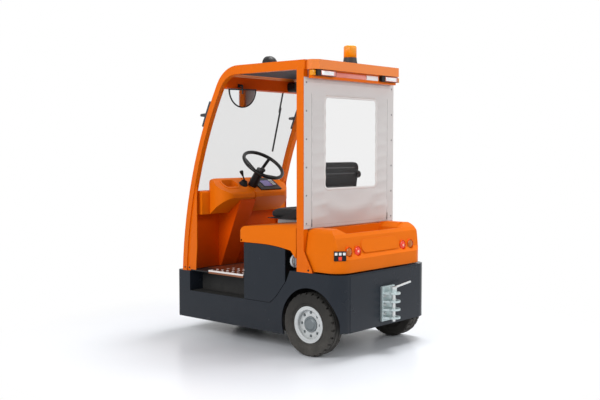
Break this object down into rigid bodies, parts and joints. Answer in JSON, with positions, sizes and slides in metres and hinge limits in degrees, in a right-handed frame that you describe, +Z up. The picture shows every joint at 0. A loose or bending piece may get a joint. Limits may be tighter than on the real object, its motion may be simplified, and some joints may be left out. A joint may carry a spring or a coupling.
{
  "type": "ride-on tow tractor",
  "caption": "Compact seated tow tractor with an open-sided cab frame, curved front pillars, seat deck, rear tray, beacon and stepped drop-pin coupling.",
  "frame": {"origin": "middle of the footprint on the floor, the tyres stand on z = 0", "axes": "+Z up, -Y towards the front of the vehicle, +X towards the driver's left"},
  "size_m": [0.994, 1.644, 2.03],
  "materials": {
    "orange_cover": "satin, moulded",
    "orange_paint": "satin paint",
    "dark_paint": "satin dark blue-grey paint",
    "black_plastic": "grained",
    "grey_plastic": "grained",
    "light_plastic": "smooth",
    "tread_metal": "ribbed",
    "galvanised": "dull zinc",
    "rim_metal": "silver paint",
    "hub_metal": "dull grey paint",
    "tyre": "dusty rubber",
    "rubber": "dull",
    "curtain_film": "coated fabric",
    "clear_film": "clear film",
    "screen_glass": "lightly tinted",
    "seat_cover": "matt coated fabric",
    "amber_lens": "clear amber",
    "red_lens": "clear red",
    "battery_case": "smooth",
    "mirror_face": "smooth"
  },
  "bodies": {
    "vehicle": {"chassis_shell": "dark_paint", "rear_counterweight": "dark_paint", "frame": "dark_paint", "step_treads": "tread_metal", "side_panels": "dark_paint", "battery": "battery_case", "rear_cover": "orange_cover", "front_pillars": "orange_paint", "rear_pillars": "orange_paint", "roof_shell": "orange_cover", "roof_liner": "grey_plastic", "front_header": "orange_paint", "rear_header": "orange_paint", "windscreen": "screen_glass", "rear_curtain": "curtain_film", "curtain_window": "clear_film", "front_bulkhead": "orange_cover", "dash_console": "orange_cover", "column_cover": "orange_cover", "instrument_display": "black_plastic", "lever_boot": "rubber", "mirror_stalk": "black_plastic", "wiper_motor": "black_plastic", "pillar_lamps": "grey_plastic", "roof_lamp": "black_plastic", "beacon_base": "grey_plastic", "beacon_lens": "amber_lens", "work_lamps": "black_plastic", "red_lamps": "red_lens", "amber_lamps": "amber_lens", "switch_plate": "black_plastic", "coupling_body": "galvanised", "rear_axle": "dark_paint"},
    "deck": {"deck_hood": "orange_cover", "seat_base": "galvanised"},
    "seat": {"seat_pan": "galvanised", "seat_cushion": "seat_cover"},
    "backrest": {"backrest_shell": "black_plastic", "backrest_cushion": "seat_cover"},
    "steering": {"steering_wheel": "black_plastic"},
    "knob": {"spinner_knob": "black_plastic"},
    "fork": {"steer_fork": "dark_paint"},
    "front_wheel": {"front_rim": "rim_metal", "front_tyre": "tyre"},
    "rear_wheel_left": {"rear_rim_left": "rim_metal", "rear_tyre_left": "tyre", "rear_hub_left": "hub_metal"},
    "rear_wheel_right": {"rear_rim_right": "rim_metal", "rear_tyre_right": "tyre", "rear_hub_right": "hub_metal"},
    "accelerator": {"accelerator_pedal": "rubber"},
    "brake": {"brake_pedal": "rubber"},
    "lever": {"direction_lever": "black_plastic"},
    "button_left": {"rear_button_left": "black_plastic"},
    "button_middle": {"rear_button_middle": "red_lens"},
    "button_right": {"rear_button_right": "black_plastic"},
    "drop_pin": {"coupling_pin": "galvanised"},
    "mirror_head": {"cab_mirror": "mirror_face"},
    "wiper": {"wiper_arm": "black_plastic"},
    "disconnect": {"battery_disconnect": "light_plastic"}
  },
  "joints": [
    {"name": "deck_lift", "type": "hinge", "parent": "vehicle", "child": "deck", "pos_m": [0, -0.156, 0.712], "axis": [1, 0, 0], "range_deg": [0, 30]},
    {"name": "seat_slide", "type": "slide", "parent": "deck", "child": "seat", "axis": [0, 1, 0], "range_m": [-0.08, 0.02]},
    {"name": "backrest_recline", "type": "hinge", "parent": "seat", "child": "backrest", "pos_m": [0, 0.254, 0.942], "axis": [1, 0, 0], "range_deg": [-6, 25]},
    {"name": "front_steer", "type": "hinge", "parent": "vehicle", "child": "fork", "pos_m": [0, -0.56, 0.3], "axis": [0, 0, 1], "range_deg": [-75, 75]},
    {"name": "steering_turn", "type": "hinge", "parent": "vehicle", "child": "steering", "pos_m": [0, -0.412, 1.215], "axis": [0, 0.5976, 0.8018], "range_deg": [-375, 375]},
    {"name": "knob_spin", "type": "hinge", "parent": "steering", "child": "knob", "pos_m": [0.11667, -0.32, 1.16264], "axis": [0, 0.5976, 0.8018], "continuous": true},
    {"name": "front_wheel_spin", "type": "hinge", "parent": "fork", "child": "front_wheel", "pos_m": [0, -0.56, 0.19], "axis": [1, 0, 0], "continuous": true},
    {"name": "rear_wheel_left_spin", "type": "hinge", "parent": "vehicle", "child": "rear_wheel_left", "pos_m": [0.4395, 0.456, 0.205], "axis": [1, 0, 0], "continuous": true},
    {"name": "rear_wheel_right_spin", "type": "hinge", "parent": "vehicle", "child": "rear_wheel_right", "pos_m": [-0.4395, 0.456, 0.205], "axis": [1, 0, 0], "continuous": true},
    {"name": "accelerator_press", "type": "hinge", "parent": "vehicle", "child": "accelerator", "pos_m": [-0.255, -0.587, 0.492], "axis": [1, 0, 0], "range_deg": [0, 15], "stiffness_Nm_per_rad": 3, "springref_deg": -20.05},
    {"name": "brake_press", "type": "hinge", "parent": "vehicle", "child": "brake", "pos_m": [-0.14, -0.587, 0.492], "axis": [1, 0, 0], "range_deg": [0, 20], "stiffness_Nm_per_rad": 4, "springref_deg": -20.05},
    {"name": "direction_select", "type": "hinge", "parent": "vehicle", "child": "lever", "pos_m": [0.085, -0.5527, 1.04884], "axis": [1, 0, 0], "range_deg": [-10, 10]},
    {"name": "button_left_press", "type": "slide", "parent": "vehicle", "child": "button_left", "axis": [-0.6691, -0.7431, 0], "range_m": [0, 0.003], "stiffness_N_per_m": 400, "springref_m": -0.002},
    {"name": "button_middle_press", "type": "slide", "parent": "vehicle", "child": "button_middle", "axis": [-0.6691, -0.7431, 0], "range_m": [0, 0.003], "stiffness_N_per_m": 400, "springref_m": -0.002},
    {"name": "button_right_press", "type": "slide", "parent": "vehicle", "child": "button_right", "axis": [-0.6691, -0.7431, 0], "range_m": [0, 0.003], "stiffness_N_per_m": 400, "springref_m": -0.002},
    {"name": "drop_pin_lift", "type": "slide", "parent": "vehicle", "child": "drop_pin", "axis": [0, 0, 1], "range_m": [0, 0.235]},
    {"name": "mirror_turn", "type": "hinge", "parent": "vehicle", "child": "mirror_head", "pos_m": [0.325, -0.301, 1.754], "axis": [0, 0, 1], "range_deg": [-20, 20]},
    {"name": "wiper_sweep", "type": "hinge", "parent": "vehicle", "child": "wiper", "pos_m": [-0.228, -0.38357, 1.79046], "axis": [0, -0.891, 0.454], "range_deg": [0, 80]},
    {"name": "disconnect_pull", "type": "slide", "parent": "vehicle", "child": "disconnect", "axis": [1, 0, 0], "range_m": [0, 0.025]}
  ],
  "couplings": [
    {"joint": "steering_turn", "follows": "front_steer", "ratio": 5}
  ]
}
